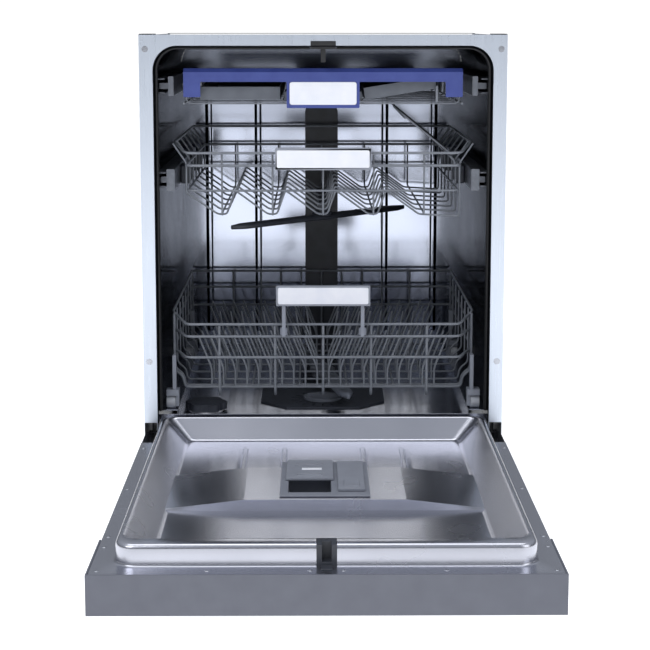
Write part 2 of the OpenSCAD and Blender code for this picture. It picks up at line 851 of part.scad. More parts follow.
// Arms on the basket's sides that hold the wheels under a hood
module wheel_carriers() {
    x0 = wheel_x0 - 6;
    hood_z = wheel_z + wheel_r + 0.6;
    x1 = low_half_w - frame_d / 2 - 0.1;
    color(dark_plastic) both_sides() for (y = wheel_y)
        difference() {
            union() {
                block([x0, y - 8, wheel_z - 7], [wheel_x0 - 0.5, y + 8, hood_z + 10]);
                block([x0, y - 12, hood_z], [wheel_x0 + wheel_w, y + 12, hood_z + 10]);
                block([x1 - 6, y - 7, hood_z + 9], [x1, y + 7, low_top_z - 66]);
            }
            translate([x0 - 1, y, wheel_z]) rotate([0, 90, 0]) cylinder(r = axle_r + 0.06, h = 8);
        }
}

module handle_frame(half, z0, z1, y0, y1) {
    block([-half, y0, z0], [half, y1, z1]);
}

module lower_handle() {
    z0 = low_top_z + 22;
    color(grey_plastic) difference() {
        union() {
            handle_frame(78.5, z0, z0 + 33.6, 20, 30);
            both_sides() block([63, 24, low_top_z - 31], [69, 30, z0 + 1]);
            both_sides() block([60, 28.5, low_top_z - 29], [72, 34.4, low_top_z - 17]);
        }
        block([-76, 19, z0 + 2.5], [76, 23.2, z0 + 31.1]);
    }
}

module lower_handle_insert() {
    z0 = low_top_z + 22;
    color(white) block([-75.7, 19.4, z0 + 2.8], [75.7, 23.1, z0 + 30.8]);
}

// A row of plate tines on a rod that turns, so the row folds flat
module lower_tines() {
    color(grey_plastic) {
        wire([-196, tine_y, tine_z], [196, tine_y, tine_z], tine_rod_d);
        for (i = [-9 : 9]) if (i != 0)
            wire([i * 20, tine_y, tine_z + 2.1], [i * 20, tine_y + 9, tine_z + 84], wire_d, 0);
    }
}

module rack_wheel(y) {
    both_sides() translate([wheel_x0, y, wheel_z]) rotate([0, 90, 0]) {
        difference() {
            cylinder(r = wheel_r, h = wheel_w);
            translate([0, 0, wheel_w - 3]) cylinder(r = wheel_r - 2.5, h = 5);
            for (a = [0 : 90 : 270]) rotate(a) translate([5.6, 0, -1]) cylinder(r = 1.6, h = wheel_w + 2);
        }
        translate([0, 0, -5.5]) cylinder(r = axle_r, h = 6);
    }
}

module lower_wheels_front() { color(white) rack_wheel(wheel_y[0]); }
module lower_wheels_rear() { color(white) rack_wheel(wheel_y[1]); }

// ---- upper rack ----

// The floor's saw-tooth section: each tooth is a flat, a steep side and a long slope
tooth = 84;
tooth_flat = 15;
tooth_steep = 14;
tooth_rise = 40;
teeth = floor((2 * up_base_half - 60) / tooth);
tooth_x0 = -teeth * tooth / 2 - 8;

module saw_wire(y) {
    for (i = [0 : teeth - 1]) {
        x = tooth_x0 + i * tooth;
        z = up_floor_z;
        wire([x, y, z], [x + tooth_flat, y, z], short = 0.8);
        wire([x + tooth_flat, y, z], [x + tooth_flat + tooth_steep, y, z + tooth_rise], short = 0.8);
        wire([x + tooth_flat + tooth_steep, y, z + tooth_rise], [x + tooth, y, z], short = 0.8);
    }
    wire([tooth_x0, y, up_floor_z], [-up_base_half, y, up_floor_z + 36], short = 0.8);
    wire([tooth_x0 + teeth * tooth, y, up_floor_z], [up_base_half, y, up_floor_z - 4], short = 0.8);
}

module upper_basket() {
    w = up_half_w;
    b = up_base_half;
    f = up_front;
    k = up_back;
    top = up_top_z;
    color(grey_plastic) {
        both_sides() {
            wire([w, f, top], [w, k, top], frame_d);
            wire([b, f, top - 36], [b, k, top - 36], frame_d);
            wire([b - wire_d - weld, f + 3, top - 77], [b - wire_d - weld, k - 3, top - 77]);
        }
        wire([-w, k, top], [w, k, top], frame_d);
        wire([-b, k, top - 40], [b, k, top - 40]);
        for (drop = [14.5, 35.5, 77]) wire([-b, f, top - drop], [b, f, top - drop], frame_d);
        for (i = [0 : 6]) {
            y = f + 16 + i * (k - f - 32) / 6;
            saw_wire(y);
            wire([-b, y, up_floor_z + 36], [-b, y, top - 39]);
            wire([b, y, up_floor_z - 4], [b, y, top - 39]);
            both_sides() wire([b, y, top - 33], [w, y, top - 3], short = 0.8);
        }
        for (i = [0 : teeth]) {
            x = tooth_x0 + i * tooth + 8;
            wire([x, f + 6, up_floor_z + wire_d + weld], [x, k - 6, up_floor_z + wire_d + weld]);
            wire([x, f + snug, up_floor_z - 4], [x, f + snug, top - 17]);
        }
        // eyes for the rod of the cup shelf, on the right rim
        for (y = [shelf_y0 - 16, shelf_y1 + 10]) difference() {
            union() {
                block([shelf_x - 5, y, shelf_z - 5], [shelf_x + 5, y + 6, shelf_z + 5]);
                block([shelf_x, y, top - 40], [b - frame_d / 2 - weld, y + 6, shelf_z]);
            }
            translate([shelf_x, y - 1, shelf_z]) rotate([-90, 0, 0])
                cylinder(r = shelf_rod_d / 2 + 0.06, h = 8);
        }
    }
}

module upper_handle() {
    z1 = up_top_z - 5;
    color(grey_plastic) difference() {
        union() {
            handle_frame(79.5, z1 - 36.5, z1, 18, 28);
            both_sides() block([58, 27, z1 - 28], [72, 40, z1 - 14]);
        }
        block([-77, 17, z1 - 33.2], [77, 21.2, z1 - 3.3]);
    }
}

module upper_handle_insert() {
    z1 = up_top_z - 5;
    color(white) block([-76.7, 17.4, z1 - 32.9], [76.7, 21.1, z1 - 3.6]);
}

shelf_x = up_base_half - 14;
shelf_z = up_top_z - 18;
shelf_rod_d = 4;
shelf_y0 = up_front + 50;
shelf_y1 = up_back - 60;
module cup_shelf() {
    run = 82;
    rise = 67;
    color(grey_plastic) {
        wire([shelf_x, shelf_y0 - 22, shelf_z], [shelf_x, shelf_y1 + 22, shelf_z], shelf_rod_d);
        for (i = [0 : 8]) {
            y = shelf_y0 + i * (shelf_y1 - shelf_y0) / 8;
            wire([shelf_x - 1.7, y, shelf_z + 1.4], [shelf_x - run, y, shelf_z + rise], wire_d, 0.2);
        }
        wire([shelf_x - run - 1, shelf_y0 - 6, shelf_z + rise + 3],
             [shelf_x - run - 1, shelf_y1 + 6, shelf_z + rise + 3], 4, 0);
    }
}

module height_adjusters() {
    x0 = up_base_half + frame_d / 2 + 0.1;
    x1 = half_tub - 29.5;
    color(grey_plastic) both_sides() for (y = [up_front + 110, up_back - 130])
        block([x0, y, rail_z - 17], [x1, y + 70, rail_z + 15]);
}

// A moving rail: a tall inner bar with a tongue that runs in the fixed channel
module moving_rail(z, h, x0, x1) {
    y0 = bay_front - 1;
    y1 = y0 + rail_len - 6;
    block([x0, y0, z - h / 2], [x1, y1, z + h / 2]);
    block([x1 - eps, y0 + 8, z - 5], [half_tub - 5, y1 - 60, z + 5]);
    block([x1 - eps, y1 - 60, z - 8], [half_tub - 5, y1, z + 8]);
}

module upper_rails() {
    color(grey_plastic) both_sides() moving_rail(rail_z, rail_h, half_tub - 29, half_tub - 15.5);
}

module tray_rails() {
    color(grey_plastic) both_sides() moving_rail(tray_rail_z, tray_rail_h, half_tub - 29, half_tub - 20);
}

module upper_spray_arm() {
    color(dark_plastic) translate([0, arm_y, up_arm_z]) rotate(45) difference() {
        union() {
            arm(upper_arm_r, 34, 10);
            translate([0, 0, 9.9]) cylinder(r = 20, h = 5);
        }
        translate([0, 0, 4]) cylinder(r = 10.46, h = 20);
    }
}

module upper_arm_feed() {
    pipe_z = up_floor_z - 13;
    color(dark_plastic) {
        translate([0, arm_y, up_arm_z + 7]) cylinder(r = 10.4, h = pipe_z - up_arm_z - 7);
        translate([0, arm_y - 12, pipe_z]) rotate([-90, 0, 0])
            cylinder(r = 8.6, h = duct_front - 1 - arm_y + 12);
        translate([0, duct_front - 8, pipe_z]) rotate([-90, 0, 0]) cylinder(r = 12, h = 4);
    }
}

// ---- cutlery tray ----

module tray_frame() {
    w = tray_half_w;
    f = bay_front + 8;
    k = tray_back;
    z = tray_floor_z;
    rim_d = 4;
    rows = 6;
    in_x = w - (rim_d + wire_d) / 2 - weld;
    over = z + wire_d + weld;
    color(grey_plastic) {
        both_sides() {
            wire([w, f + 7, tray_z - 4], [w, k, tray_z - 4], rim_d);
            wire([w, f + 7, z], [w, k, z], rim_d);
            for (y = [f + 60, k - 110])
                block([w + rim_d / 2 + weld, y, tray_rail_z - 10], [half_tub - 29.5, y + 50, tray_rail_z + 12]);
        }
        for (x = [-66, -22, 22, 66]) wire([x, f + 6, over], [x, k, over]);
        for (i = [0 : rows]) {
            y = f + 10 + i * (k - f - 20) / rows;
            wire([-in_x, y, z], [in_x, y, z]);
            both_sides() wire([in_x, y, z], [in_x, y, tray_z - 4]);
        }
        wire([-w, k, tray_z - 4], [w, k, tray_z - 4], rim_d);
        tilt_ear(tray_in_y0 - 6, 4, 6.3);
        tilt_ear(tray_in_y1 + 1.7, 4, 4);
    }
}

// An ear on the floor wires that holds one end of the slanted tray's rod
module tilt_ear(y, thick, foot) {
    rod_x = tilt_x0 + insert_w * cos(tilt);
    rod_z = insert_z + insert_w * sin(tilt);
    difference() {
        union() {
            block([rod_x - 5, y, tray_floor_z - 1.6], [rod_x + 5, y + thick, rod_z + 5]);
            block([rod_x - 5, y, tray_floor_z - 1.6], [rod_x + 5, y + foot, tray_floor_z + 1.6]);
        }
        translate([rod_x, y - 1, rod_z]) rotate([-90, 0, 0]) cylinder(r = tilt_rod_r + 0.06, h = thick + 2);
    }
}

module tray_handle() {
    w = tray_half_w;
    y0 = bay_front - 2;
    z1 = tray_z + bar_h;
    color(blue) {
        difference() {
            union() {
                block([-w, y0, tray_z], [w, y0 + 5, z1 - 6]);
                rotate([90, 0, 90]) translate([0, 0, -w]) linear_extrude(2 * w) polygon([
                    [y0, z1 - 6.01], [y0 + 6, z1], [y0 + 14, z1], [y0 + 14, z1 - 3], [y0 + 7, z1 - 3], [y0 + 5, z1 - 6.01]]);
                block([-60, y0, tray_z - 43], [60, y0 + 5, tray_z + eps]);
                both_sides() block([w - 28, y0, tray_z - 25], [w, y0 + 5, tray_z + eps]);
            }
            block([-55.5, y0 - 1, tray_z - 38], [55.5, y0 + 2.4, tray_z]);
        }
    }
}

module tray_handle_insert() {
    y0 = bay_front - 2;
    color(white) block([-55.2, y0 - 0.6, tray_z - 37.7], [55.2, y0 + 2.3, tray_z - 0.3]);
}

// An open trough of sheet thickness t with its long side on Y
module trough(x0, x1, y0, y1, z0, z1, t) {
    difference() {
        block([x0, y0, z0], [x1, y1, z1]);
        block([x0 + t, y0 + t, z0 + t], [x1 - t, y1 - t, z1 + 1]);
    }
}

module cutlery_trays() {
    color(grey_plastic) {
        trough(-tray_half_w + 26, -71, tray_in_y0, tray_in_y1, insert_z, insert_z + 22, insert_t);
        trough(-64, 64, tray_in_y0, tray_in_y1, insert_z - 0.2, insert_z + 14, insert_t);
    }
}

module cutlery_tray_right() {
    color(grey_plastic) translate([tilt_x0, 0, insert_z]) rotate([0, -tilt, 0]) {
        trough(0, insert_w, tray_in_y0, tray_in_y1, 0, 20, insert_t);
        translate([insert_w, tray_in_y0 - 6, 0]) rotate([-90, 0, 0])
            cylinder(r = tilt_rod_r, h = tray_in_y1 - tray_in_y0 + 12);
    }
}

at_origin() tub_wrap();
at_origin() tub_back();
at_origin() tub_floor();
at_origin() front_trim();
at_origin() trim_screw_caps();
at_origin() worktop_brackets();
at_origin() door_gasket();
at_origin() latch_strike();
at_origin() side_panels();
at_origin() rear_panel();
at_origin() insulation_blanket();
at_origin() base_pan();
at_origin() levelling_feet();
at_origin() toe_kick();
at_origin() sump();
at_origin() wash_pump();
at_origin() drain_pump();
at_origin() inlet_valve();
at_origin() salt_container();
at_origin() rear_duct();
at_origin() coarse_filter();
at_origin() hinge_brackets();
at_origin() rail_guides();
at_origin() filter_cup();
at_origin() salt_cap();
at_origin() lower_spray_arm();
at_origin() door_outer_panel();
at_origin() door_liner();
at_origin() control_fascia();
at_origin() display_window();
at_origin() door_latch();
at_origin() dispenser_body();
at_origin() hinge_arms();
at_origin() liner_screws();
at_origin() detergent_lid();
at_origin() rinse_aid_lid();
at_origin() power_button();
at_origin() programme_button();
at_origin() start_button();
at_origin() lower_basket();
at_origin() lower_handle();
at_origin() lower_handle_insert();
at_origin() lower_tines();
at_origin() wheel_carriers();
at_origin() lower_wheels_front();
at_origin() lower_wheels_rear();
at_origin() upper_basket();
at_origin() upper_handle();
at_origin() upper_handle_insert();
at_origin() cup_shelf();
at_origin() height_adjusters();
at_origin() upper_rails();
at_origin() upper_spray_arm();
at_origin() upper_arm_feed();
at_origin() tray_frame();
at_origin() tray_handle();
at_origin() tray_handle_insert();
at_origin() cutlery_trays();
at_origin() cutlery_tray_right();
at_origin() tray_rails();
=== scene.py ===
import json
from math import cos, hypot, pi, radians, sin, sqrt

import bmesh
import bpy
from mathutils import Matrix, Vector


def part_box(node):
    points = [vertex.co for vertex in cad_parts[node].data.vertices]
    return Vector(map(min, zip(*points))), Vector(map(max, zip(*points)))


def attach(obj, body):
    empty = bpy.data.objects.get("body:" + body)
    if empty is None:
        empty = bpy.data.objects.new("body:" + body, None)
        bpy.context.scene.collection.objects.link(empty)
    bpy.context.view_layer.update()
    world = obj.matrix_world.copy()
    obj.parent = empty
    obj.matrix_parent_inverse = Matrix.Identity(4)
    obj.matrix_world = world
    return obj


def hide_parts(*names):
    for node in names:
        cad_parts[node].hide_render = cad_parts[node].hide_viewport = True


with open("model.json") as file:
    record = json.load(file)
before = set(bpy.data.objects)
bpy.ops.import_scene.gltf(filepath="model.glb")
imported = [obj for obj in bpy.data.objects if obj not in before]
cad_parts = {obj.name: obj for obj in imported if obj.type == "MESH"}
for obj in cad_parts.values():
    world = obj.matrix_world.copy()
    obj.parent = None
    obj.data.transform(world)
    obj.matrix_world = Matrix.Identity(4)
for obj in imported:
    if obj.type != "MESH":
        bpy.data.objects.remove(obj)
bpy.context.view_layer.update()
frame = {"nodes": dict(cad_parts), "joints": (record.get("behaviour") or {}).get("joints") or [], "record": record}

scene = bpy.context.scene
print("frame loaded:", len(frame["nodes"]), "parts")

# Places are in millimetres in the machine's own frame: x to the right, y back
# from the cabinet's front edge, z up from the floor.
mm = 0.001
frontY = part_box("front_trim")[0].y / mm + 1.2
hingeAt = next(j for j in frame["joints"] if j["name"] == "door_hinge")["pos_m"]


def spot(x, y, z):
    return Vector((x * mm, (y + frontY) * mm, z * mm))


# A place on the open door: u out from the hinge, h up from the liner's flange.
def onDoor(x, u, h):
    return Vector((x * mm, hingeAt[1] - u * mm, hingeAt[2] + (27 + h) * mm))


# Camera

cameraSetup = {
    "place": (-16.87, -2632.7, 866.96),
    "down": 0.1393,
    "right": 0.0075,
    "lens": 89.31,
    "shiftY": -0.115,
}
cameraData = bpy.data.cameras.new("camera")
cameraData.lens = cameraSetup["lens"]
cameraData.shift_y = cameraSetup["shiftY"]
cameraData.clip_end = 60
camera = bpy.data.objects.new("camera", cameraData)
camera.location = spot(*cameraSetup["place"])
camera.rotation_euler = (pi / 2 - cameraSetup["down"], 0, -cameraSetup["right"])
scene.collection.objects.link(camera)
scene.camera = camera
scene.view_settings.view_transform = "Standard"


# Materials

def hexColour(code):
    code = code.lstrip("#")
    parts = [int(code[i:i + 2], 16) / 255 for i in (0, 2, 4)]
    return [c / 12.92 if c <= 0.04045 else ((c + 0.055) / 1.055) ** 2.4 for c in parts] + [1]


# Adds a node: settings by attribute or socket name, links as socket: output.
def addNode(tree, kind, settings=None, links=None):
    node = tree.nodes.new(kind)
    for key, value in (settings or {}).items():
        if isinstance(key, str) and hasattr(node, key):
            setattr(node, key, value)
        else:
            node.inputs[key].default_value = value
    for key, source in (links or {}).items():
        tree.links.new(source, node.inputs[key])
    return node


def newMaterial(name, colour, metallic=0.0, roughness=0.5, **sockets):
    paint = bpy.data.materials.new(name)
    paint.use_nodes = True
    tree = paint.node_tree
    shader = tree.nodes["Principled BSDF"]
    shader.inputs["Base Color"].default_value = hexColour(colour)
    shader.inputs["Metallic"].default_value = metallic
    shader.inputs["Roughness"].default_value = roughness
    for key, value in sockets.items():
        shader.inputs[key].default_value = value
    place = addNode(tree, "ShaderNodeTexCoord").outputs["Object"]
    return paint, tree, shader, place


# Noise in object space, stretched by the three scales (per metre), with a ramp from low to high.
def noiseRange(tree, place, scale, low, high, detail=3.0, turn=(0, 0, 0), sharp=(0.3, 0.7)):
    mapped = addNode(tree, "ShaderNodeMapping", {"Scale": scale, "Rotation": turn}, {"Vector": place})
    noise = addNode(tree, "ShaderNodeTexNoise", {"Scale": 1.0, "Detail": detail},
                    {"Vector": mapped.outputs[0]})
    spread = addNode(tree, "ShaderNodeMapRange",
                     {"From Min": sharp[0], "From Max": sharp[1], "To Min": low, "To Max": high},
                     {"Value": noise.outputs["Fac"]})
    return spread.outputs[0], noise.outputs["Fac"]


# The mix node's colour inputs are its sixth and seventh.
def mixTint(tree, shader, factor, first, second):
    mix = addNode(tree, "ShaderNodeMix", {"data_type": "RGBA"})
    mix.inputs[6].default_value = hexColour(first)
    mix.inputs[7].default_value = hexColour(second)
    tree.links.new(factor, mix.inputs[0])
    tree.links.new(mix.outputs[2], shader.inputs["Base Color"])


def bumpFrom(tree, shader, height, strength, distance):
    bump = addNode(tree, "ShaderNodeBump", {"Strength": strength, "Distance": distance}, {"Height": height})
    tree.links.new(bump.outputs[0], shader.inputs["Normal"])


# AISI 430 stainless sheet, belt brushed: fine streaks along one axis, soft reflections.
def brushedSheet(name, colour, along, roughness, streak=0.06):
    paint, tree, shader, place = newMaterial(name, colour, 1.0, roughness)
    fine, coarse = 1 / 0.0006, 1 / 0.09  # streaks about 0.6 mm apart and 90 mm long
    scale = [fine, fine, fine]
    scale["xyz".index(along)] = coarse
    rough, lines = noiseRange(tree, place, scale, roughness - streak, roughness + streak, 4)
    tree.links.new(rough, shader.inputs["Roughness"])
    bumpFrom(tree, shader, lines, 0.02, 0.0001)
    return paint


# Bright annealed 430 sheet as it leaves the press: near mirror with broad cloudy drag marks.
# The edge tint is how bright it looks at a grazing angle.
def pressedSheet(name, colour, roughness, edge="#FFFFFF"):
    paint, tree, shader, place = newMaterial(name, colour, 1.0, roughness)
    shader.inputs["Specular Tint"].default_value = hexColour(edge)
    clouds = (9, 9, 9)  # about 110 mm across
    rough = noiseRange(tree, place, clouds, roughness - 0.02, roughness + 0.03, 2)[0]
    tree.links.new(rough, shader.inputs["Roughness"])
    return paint


# Injection moulded plastic: a spark-eroded grain of about 0.4 mm, slight mottling of tone.
def mouldedPlastic(name, colour, shade, roughness=0.45, grain=0.0004, **sockets):
    paint, tree, shader, place = newMaterial(name, colour, 0.0, roughness, **sockets)
    mottle = (40, 40, 40)  # about 25 mm across
    tone = noiseRange(tree, place, mottle, 0, 1, 2)[0]
    mixTint(tree, shader, tone, colour, shade)
    rough, specks = noiseRange(tree, place, (1 / grain,) * 3, roughness - 0.05, roughness + 0.08, 2)
    tree.links.new(rough, shader.inputs["Roughness"])
    bumpFrom(tree, shader, specks, 0.12, 0.0001)
    return paint


# Hot dip galvanised sheet: spangle crystals about 6 mm across.
def galvanisedSheet(name, colour, shade, roughness=0.42):
    paint, tree, shader, place = newMaterial(name, colour, 0.85, roughness)
    cells = addNode(tree, "ShaderNodeTexVoronoi", {"Scale": 1 / 0.006}, {"Vector": place})
    tone = addNode(tree, "ShaderNodeSeparateColor", {}, {"Color": cells.outputs["Color"]})
    mixTint(tree, shader, tone.outputs[0], colour, shade)
    rough = addNode(tree, "ShaderNodeMapRange", {"To Min": roughness - 0.07, "To Max": roughness + 0.08},
                    {"Value": tone.outputs[1]})
    tree.links.new(rough.outputs[0], shader.inputs["Roughness"])
    return paint


paints = {
    # The tub's walls and ceiling: the near-black colour and dark grazing tint are painted shade. It is the same
    # steel as the back and floor, darkened for the shadow inside the tub.
    "tubSteel": pressedSheet("stainless_430_painted_shade_tub", "#191A1F", 0.14, "#24262C"),
    "backSteel": pressedSheet("stainless_430_bright_back", "#B4BAC9", 0.12),
    "linerSteel": pressedSheet("stainless_430_pressed_liner", "#C2C4CE", 0.25),
    "trimSteel": brushedSheet("stainless_430_brushed_trim", "#D8E0EC", "z", 0.32),
    "panelSteel": brushedSheet("stainless_430_brushed_panel", "#A4A8B0", "x", 0.34),
    "zincSheet": galvanisedSheet("galvanised_sheet", "#9DA1A7", "#A6AAB0"),
    "railSteel": galvanisedSheet("rolled_zinc_plated_rail", "#70747C", "#7C8088", 0.35),
    "screwSteel": brushedSheet("nickel_plated_screw", "#B9BCC4", "y", 0.26),
    "blackPaint": mouldedPlastic("black_powder_coat", "#1A1B1F", "#222428", 0.5),
    "gasketRubber": mouldedPlastic("epdm_rubber", "#0F1013", "#17181B", 0.55, 0.0003),
    "bitumenFelt": mouldedPlastic("bitumen_felt", "#17171A", "#242428", 0.9, 0.0012),
    "darkPlastic": mouldedPlastic("polypropylene_anthracite", "#33363E", "#3A3E47", 0.42),
    "greyPlastic": mouldedPlastic("polypropylene_grey", "#6A6F7A", "#747985", 0.4),
    "rackGrey": mouldedPlastic("abs_light_grey", "#8B909C", "#959AA6", 0.38),
    "fasciaPaint": mouldedPlastic("lacquered_fascia", "#5E616C", "#636671", 0.4),
    "rackWire": mouldedPlastic("nylon_coated_wire", "#757A83", "#81868F", 0.34, 0.0006),
    "whitePlastic": mouldedPlastic("polyacetal_white", "#DADBE2", "#E4E5EA", 0.4),
    "silverInsert": mouldedPlastic("silver_lacquered_abs", "#E9ECF6", "#F1F3FA", 0.3),
    "bluePlastic": mouldedPlastic("abs_blue", "#425095", "#3A478C", 0.32),
    "wheelGrey": mouldedPlastic("polyacetal_light_grey", "#B9BDC6", "#C4C8D0", 0.4),
    "trayGrey": mouldedPlastic("polypropylene_tray_grey", "#5C616A", "#666B74", 0.42),
    "ductPlastic": mouldedPlastic("polypropylene_duct", "#2E323A", "#363A43", 0.36),
    "floorSteel": pressedSheet("stainless_430_bright_floor", "#B4B8C4", 0.2),
    "dispenserGrey": mouldedPlastic("polypropylene_dispenser", "#7C808B", "#848893", 0.4),
    "lidGrey": mouldedPlastic("polypropylene_lid", "#858994", "#8C909B", 0.38),
    "displayGlass": mouldedPlastic("acrylic_display", "#07080A", "#0B0C10", 0.1, 0.0008),
}
print("materials made:", len(paints))

nodePaint = {
    "tubSteel": "tub_wrap tub_floor", "backSteel": "tub_back", "linerSteel": "door_liner",
    "trimSteel": "front_trim", "panelSteel": "door_outer_panel", "zincSheet": "side_panels rear_panel",
    "railSteel": "rail_guides hinge_arms upper_rails tray_rails",
    "screwSteel": "trim_screw_caps liner_screws",
    "blackPaint": "worktop_brackets toe_kick hinge_brackets", "gasketRubber": "door_gasket levelling_feet",
    "bitumenFelt": "insulation_blanket",
    "darkPlastic": "latch_strike base_pan sump wash_pump drain_pump rear_duct coarse_filter salt_cap "
                   "door_latch upper_spray_arm upper_arm_feed wheel_carriers",
    "greyPlastic": "filter_cup lower_spray_arm dispenser_body detergent_lid rinse_aid_lid",
    "rackGrey": "lower_handle upper_handle height_adjusters cutlery_trays cutlery_tray_right",
    "fasciaPaint": "control_fascia power_button programme_button start_button",
    "rackWire": "lower_basket lower_tines upper_basket cup_shelf tray_frame",
    "whitePlastic": "inlet_valve salt_container lower_wheels_front lower_wheels_rear",
    "silverInsert": "lower_handle_insert upper_handle_insert tray_handle_insert",
    "bluePlastic": "tray_handle", "displayGlass": "display_window",
}
for paintName, names in nodePaint.items():
    for name in names.split():
        slots = frame["nodes"][name].data.materials
        slots.clear()
        slots.append(paints[paintName])
bodyOf = {name: body for body, names in frame["record"]["behaviour"]["bodies"].items() for name in names}


# Helpers for pieces

# Puts a finished object on the body of the CAD parts that it stands for.
def settle(piece, paintName, *stoodFor):
    if not piece.data.materials:
        piece.data.materials.append(paints[paintName])
    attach(piece, bodyOf[stoodFor[0]])
    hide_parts(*stoodFor)
    return piece


# Puts a small added object on one CAD part's body, beside the part.
def rideWith(piece, paintName, node):
    piece.data.materials.append(paints[paintName])
    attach(piece, bodyOf[node])
    return piece


def linkObject(name, data):
    piece = bpy.data.objects.new(name, data)
    scene.collection.objects.link(piece)
    return piece


# Rounds the bends of a path of places in millimetres.
def bent(points, radius=6, steps=4, closed=False):
    points = [Vector(p) for p in points]
    count = len(points)
    made = []
    for i, here in enumerate(points):
        if not closed and i in (0, count - 1):
            made.append(here)
            continue
        before, after = points[i - 1] - here, points[(i + 1) % count] - here
        reach = min(radius, before.length * 0.45, after.length * 0.45)
        first, last = here + before.normalized() * reach, here + after.normalized() * reach
        for s in range(steps + 1):
            t = s / steps
            made.append(first * (1 - t) ** 2 + here * 2 * t * (1 - t) + last * t ** 2)
    return made


# A set of round wires as one curve piece: each run is (points, width) or (points, width, closed).
def wireSet(name, runs, place=spot, sides=2):
    curve = bpy.data.curves.new(name, "CURVE")
    curve.dimensions = "3D"
    curve.bevel_depth = mm
    curve.bevel_resolution = sides
    curve.use_fill_caps = True
    for run in runs:
        points, width = run[0], run[1]
        spline = curve.splines.new("POLY")
        spline.points.add(len(points) - 1)
        for target, point in zip(spline.points, points):
            target.co = (*place(*point), 1)
            target.radius = width / 2
        spline.use_cyclic_u = len(run) > 2 and run[2]
    return linkObject(name, curve)


# A merged copy of a CAD part with its edges rounded.
def softened(node, paintName, width, segments=3, corner=0, angle=40):
    mesh = frame["nodes"][node].data.copy()
    form = bmesh.new()
    form.from_mesh(mesh)
    bmesh.ops.remove_doubles(form, verts=form.verts, dist=0.00001)
    bmesh.ops.dissolve_limit(form, angle_limit=radians(1), verts=form.verts, edges=form.edges)
    if corner:  # the outline seen from the front is rounded first
        along = [e for e in form.edges if abs((e.verts[1].co - e.verts[0].co).normalized().y) > 0.99
                 and len(e.link_faces) == 2 and e.calc_face_angle(0) > radians(60)]
        bmesh.ops.bevel(form, geom=along, offset=corner * mm, offset_type="OFFSET", affect="EDGES",
                        segments=6, profile=0.5, material=-1, clamp_overlap=True)
    sharp = [e for e in form.edges if len(e.link_faces) == 2 and e.calc_face_angle(0) > radians(angle)]
    bmesh.ops.bevel(form, geom=sharp, offset=width * mm, offset_type="OFFSET", affect="EDGES",
                    segments=segments, profile=0.5, material=-1, clamp_overlap=True)
    form.to_mesh(mesh)
    form.free()
    for face in mesh.polygons:
        face.use_smooth = True
    piece = linkObject(node + "_soft", mesh)
    mesh.materials.clear()
    flatten = piece.modifiers.new("corners", "WEIGHTED_NORMAL")
    flatten.keep_sharp = True
    return settle(piece, paintName, node)


# A piece made from a bmesh, shaded smooth unless smooth is False.
def fromForm(name, form, smooth=True):
    bmesh.ops.recalc_face_normals(form, faces=form.faces)
    mesh = bpy.data.meshes.new(name)
    form.to_mesh(mesh)
    form.free()
    for face in mesh.polygons:
        face.use_smooth = smooth
    return linkObject(name, mesh)


def softenAll(group):
    for node, (paintName, width, segments, *corner) in group.items():
        softened(node, paintName, width, segments, *corner)


# Lower rack

lowerRack = {
    "halfWidth": 257, "baseHalf": 236, "front": 39, "back": 534, "corner": 50,
    "rims": [(379, 366.6), (350, 345.7), (314, 309.9)],
    "floor": 252, "step": 276, "thick": 4.6, "thin": 3.4,
    "hoops": [71, 86, 132, 193, 255, 316, 377, 439, 500],
    "uprights": [-175, -81, 0, 81, 175],
    "floorRuns": [-120, -40, 40, 120],
    "tineRows": [71, 132, 193, 377, 439],
    "tinePitch": 20, "tineReach": 200, "tineTop": 338, "tineBend": 285, "tineLean": 21,
    "hookTop": 366, "hookSide": 250, "hookLow": 243, "upright": 3.8,
}


def makeLowerRack(r):
    runs = []
    w, f, k = r["halfWidth"], r["front"], r["back"]
    for level, frontLevel in r["rims"]:
        backLevel = level + 3 if level == r["rims"][0][0] else level
        side = [(w, k, backLevel), (w, f + 56, level), (w - 10, f + 42, (level + frontLevel) / 2),
                (w - 27, f, frontLevel)]
        loop = side + [(-x, y, z) for x, y, z in reversed(side)]
        runs.append((bent(loop, 10, 4, True), r["thick"], True))
    top = r["rims"][0][0]
    for i, y in enumerate(r["hoops"]):
        width = r["thick"] if i < 2 else r["thin"]
        x = w - 3.4
        half = [(x, y, top), (x, y, r["step"] + 6), (x - 14, y, r["step"] - 5),
                (r["baseHalf"], y, r["floor"])]
        runs.append((bent(half + [(-a, y, z) for a, b, z in reversed(half)], 7), width))
    for x in r["uprights"]:
        # down the front, a hook under the first hoop, over the floor and up the back
        hook = [(x, f + 3.6, r["hookTop"]), (x, f + 3.6, r["hookSide"]), (x, f + 10, r["hookLow"]),
                (x, f + 22, r["hookSide"])]
        runs.append((bent(hook, 5), r["thick"]))
        under = [(x, f + 30, r["floor"] + 4), (x, k - 4, r["floor"] + 4), (x, k - 4, top + 4)]
        runs.append((bent(under, 12), r["upright"]))
    for x in r["floorRuns"]:
        under = [(x, f + 30, r["floor"] + 4), (x, k - 10, r["floor"] + 4), (x, k - 5, top + 2)]
        runs.append((bent(under, 12), r["thin"]))
    half = r["tinePitch"] / 2
    count = int(r["tineReach"] / r["tinePitch"])
    for y in r["tineRows"]:
        for i in range(count):
            for side in (-1, 1):
                x = side * (half + i * r["tinePitch"])
                tine = [(x, y, r["floor"]), (x, y, r["tineBend"]),
                        (x + side * r["tineLean"], y, r["tineTop"])]
                runs.append((bent(tine, 8, 3), r["thin"]))
    return settle(wireSet("lower_rack_wires", runs), "rackWire", "lower_basket")


makeLowerRack(lowerRack)
print("lower rack made")


# Lower rack's tines, wheels and handle

foldingTines = {"y": 287, "rod": 258.95, "reach": 196, "pitch": 20, "count": 9, "top": 343, "lean": 9}


